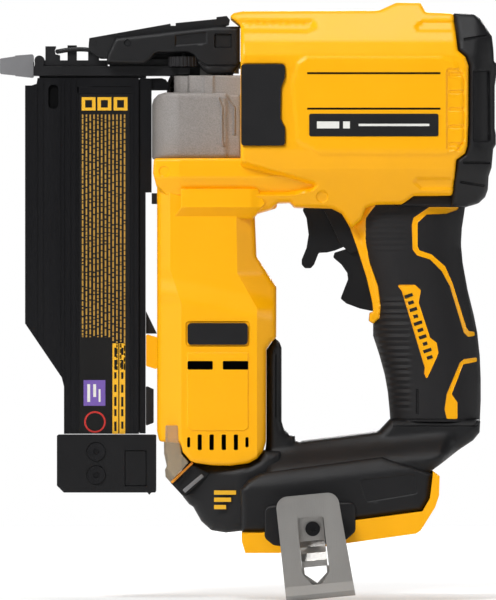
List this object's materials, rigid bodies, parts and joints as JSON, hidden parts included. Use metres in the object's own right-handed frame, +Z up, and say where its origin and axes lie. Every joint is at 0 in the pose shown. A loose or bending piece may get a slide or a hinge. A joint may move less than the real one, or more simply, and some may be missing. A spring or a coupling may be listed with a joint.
{
  "type": "cordless pin nailer",
  "caption": "Hand-held battery pin nailer with a pistol grip, side magazine, motor column, gas-spring barrel, latching nose, dual trigger and belt hook.",
  "frame": {"origin": "nose outlet, on the drive axis, in the middle plane", "axes": "+X from the nose to the rear cap, +Z up towards the top of the barrel, -Y the side that carries the belt hook"},
  "size_m": [0.2574, 0.0972, 0.3098],
  "materials": {
    "yellow_shell": "satin moulded nylon",
    "black_shell": "fine matt texture",
    "trigger_plastic": "satin",
    "rubber": "fine ribbed rubber",
    "casting": "speckled cast, bead blasted",
    "magazine_alloy": "black anodised extrusion",
    "label": "printed film",
    "steel": "brushed",
    "dark_screw": "black oxide",
    "tip_plastic": "translucent soft plastic",
    "lens": "clear lamp lens",
    "inner_plastic": "moulded",
    "contact_brass": "plain",
    "piston_alloy": "machined",
    "magnet": "plated"
  },
  "bodies": {
    "housing": {"ball_bearings": "steel", "battery_base": "yellow_shell", "battery_contacts": "contact_brass", "belt_hook": "steel", "bumper": "rubber", "control_board": "inner_plastic", "cylinder": "casting", "gas_reservoir": "casting", "gear_case": "casting", "gearbox_tube": "steel", "grip_accents": "yellow_shell", "grip_left": "rubber", "grip_right": "rubber", "hook_screw": "dark_screw", "housing_left": "yellow_shell", "housing_right": "yellow_shell", "housing_screws": "dark_screw", "lamp_body": "black_shell", "lamp_lens": "lens", "lower_housing_left": "black_shell", "lower_housing_right": "black_shell", "magazine_bracket": "yellow_shell", "magazine_track": "steel", "motor_stator": "steel", "nose_base": "steel", "nose_cover": "black_shell", "pin_strip": "steel", "rear_cap": "black_shell", "ring_gear": "steel", "rubber_pads": "rubber", "terminal_block": "inner_plastic", "track_mounts": "inner_plastic", "trigger_pins": "steel", "trigger_switch": "inner_plastic"},
    "trigger": {"trigger": "trigger_plastic"},
    "lock_off_lever": {"lock_off_lever": "trigger_plastic"},
    "latch_lever": {"latch_lever": "black_shell"},
    "wire_bail": {"wire_bail": "steel"},
    "nose_door": {"nose_door": "steel"},
    "no_mar_tip": {"no_mar_tip": "tip_plastic"},
    "depth_wheel": {"depth_wheel": "black_shell"},
    "magazine": {"magazine_channel": "magazine_alloy", "magazine_label": "label", "end_cap": "black_shell", "end_cap_screws": "dark_screw"},
    "magazine_latch": {"magazine_latch": "black_shell"},
    "pusher": {"pusher": "inner_plastic", "pusher_spring": "steel"},
    "driver": {"driver_blade": "steel", "piston": "piston_alloy", "piston_seal": "rubber"},
    "lifter": {"lifter_wheel": "steel", "bevel_gear": "steel"},
    "output": {"output_shaft": "steel"},
    "motor": {"motor_shaft": "steel", "motor_rotor": "magnet", "motor_fan": "inner_plastic"},
    "planet_1": {"planet_1": "steel"},
    "planet_2": {"planet_2": "steel"},
    "planet_3": {"planet_3": "steel"}
  },
  "joints": [
    {"name": "trigger_pull", "type": "hinge", "parent": "housing", "child": "trigger", "pos_m": [0.188, 0, -0.095], "axis": [0, -1, 0], "range_deg": [0, 8], "stiffness_Nm_per_rad": 0.6, "springref_deg": -20.05},
    {"name": "lock_off_pull", "type": "hinge", "parent": "housing", "child": "lock_off_lever", "pos_m": [0.166, 0, -0.069], "axis": [0, -1, 0], "range_deg": [0, 8], "stiffness_Nm_per_rad": 0.5, "springref_deg": -17.19},
    {"name": "latch_lever_lift", "type": "hinge", "parent": "housing", "child": "latch_lever", "pos_m": [0.0495, 0, 0.0112], "axis": [0, -1, 0], "range_deg": [0, 95]},
    {"name": "bail_swing", "type": "hinge", "parent": "latch_lever", "child": "wire_bail", "pos_m": [0.0555, 0, 0.007], "axis": [0, 1, 0], "range_deg": [0, 119]},
    {"name": "nose_door_open", "type": "hinge", "parent": "housing", "child": "nose_door", "pos_m": [0.0206, 0, 0.0027], "axis": [0, -1, 0], "range_deg": [0, 38.1]},
    {"name": "tip_pull", "type": "slide", "parent": "housing", "child": "no_mar_tip", "axis": [-1, 0, 0], "range_m": [0, 0.008]},
    {"name": "depth_turn", "type": "hinge", "parent": "housing", "child": "depth_wheel", "pos_m": [0.0958, -0.011, 0.0019], "axis": [0, 0, 1], "range_deg": [-150, 150]},
    {"name": "magazine_slide", "type": "slide", "parent": "housing", "child": "magazine", "axis": [0, 0, -1], "range_m": [0, 0.11]},
    {"name": "magazine_latch_press", "type": "slide", "parent": "magazine", "child": "magazine_latch", "axis": [0, 1, 0], "range_m": [0, 0.002], "stiffness_N_per_m": 900, "springref_m": -0.002},
    {"name": "pusher_slide", "type": "slide", "parent": "magazine", "child": "pusher", "axis": [0, 0, -1], "range_m": [0, 0.075], "stiffness_N_per_m": 12, "springref_m": -0.12},
    {"name": "lifter_turn", "type": "hinge", "parent": "housing", "child": "lifter", "pos_m": [0.105, 0, -0.0142], "axis": [0, -1, 0], "range_deg": [0, 312]},
    {"name": "driver_stroke", "type": "slide", "parent": "housing", "child": "driver", "axis": [-1, 0, 0], "range_m": [0, 0.06]},
    {"name": "output_turn", "type": "hinge", "parent": "housing", "child": "output", "pos_m": [0.105, 0, -0.1], "axis": [0, 0, 1], "continuous": true},
    {"name": "motor_turn", "type": "hinge", "parent": "housing", "child": "motor", "pos_m": [0.105, 0, -0.17], "axis": [0, 0, 1], "continuous": true},
    {"name": "planet_1_spin", "type": "hinge", "parent": "output", "child": "planet_1", "pos_m": [0.114, 0, -0.137], "axis": [0, 0, 1], "continuous": true},
    {"name": "planet_2_spin", "type": "hinge", "parent": "output", "child": "planet_2", "pos_m": [0.1005, 0.00779, -0.137], "axis": [0, 0, 1], "continuous": true},
    {"name": "planet_3_spin", "type": "hinge", "parent": "output", "child": "planet_3", "pos_m": [0.1005, -0.00779, -0.137], "axis": [0, 0, 1], "continuous": true}
  ],
  "couplings": [
    {"joint": "bail_swing", "follows": "latch_lever_lift", "ratio": 1.25},
    {"joint": "nose_door_open", "follows": "latch_lever_lift", "ratio": 0.4},
    {"joint": "driver_stroke", "follows": "lifter_turn", "m_per_rad": 0.011},
    {"joint": "output_turn", "follows": "lifter_turn", "ratio": -1.5},
    {"joint": "motor_turn", "follows": "lifter_turn", "ratio": -9},
    {"joint": "planet_1_spin", "follows": "lifter_turn", "ratio": 3.75},
    {"joint": "planet_2_spin", "follows": "lifter_turn", "ratio": 3.75},
    {"joint": "planet_3_spin", "follows": "lifter_turn", "ratio": 3.75}
  ]
}
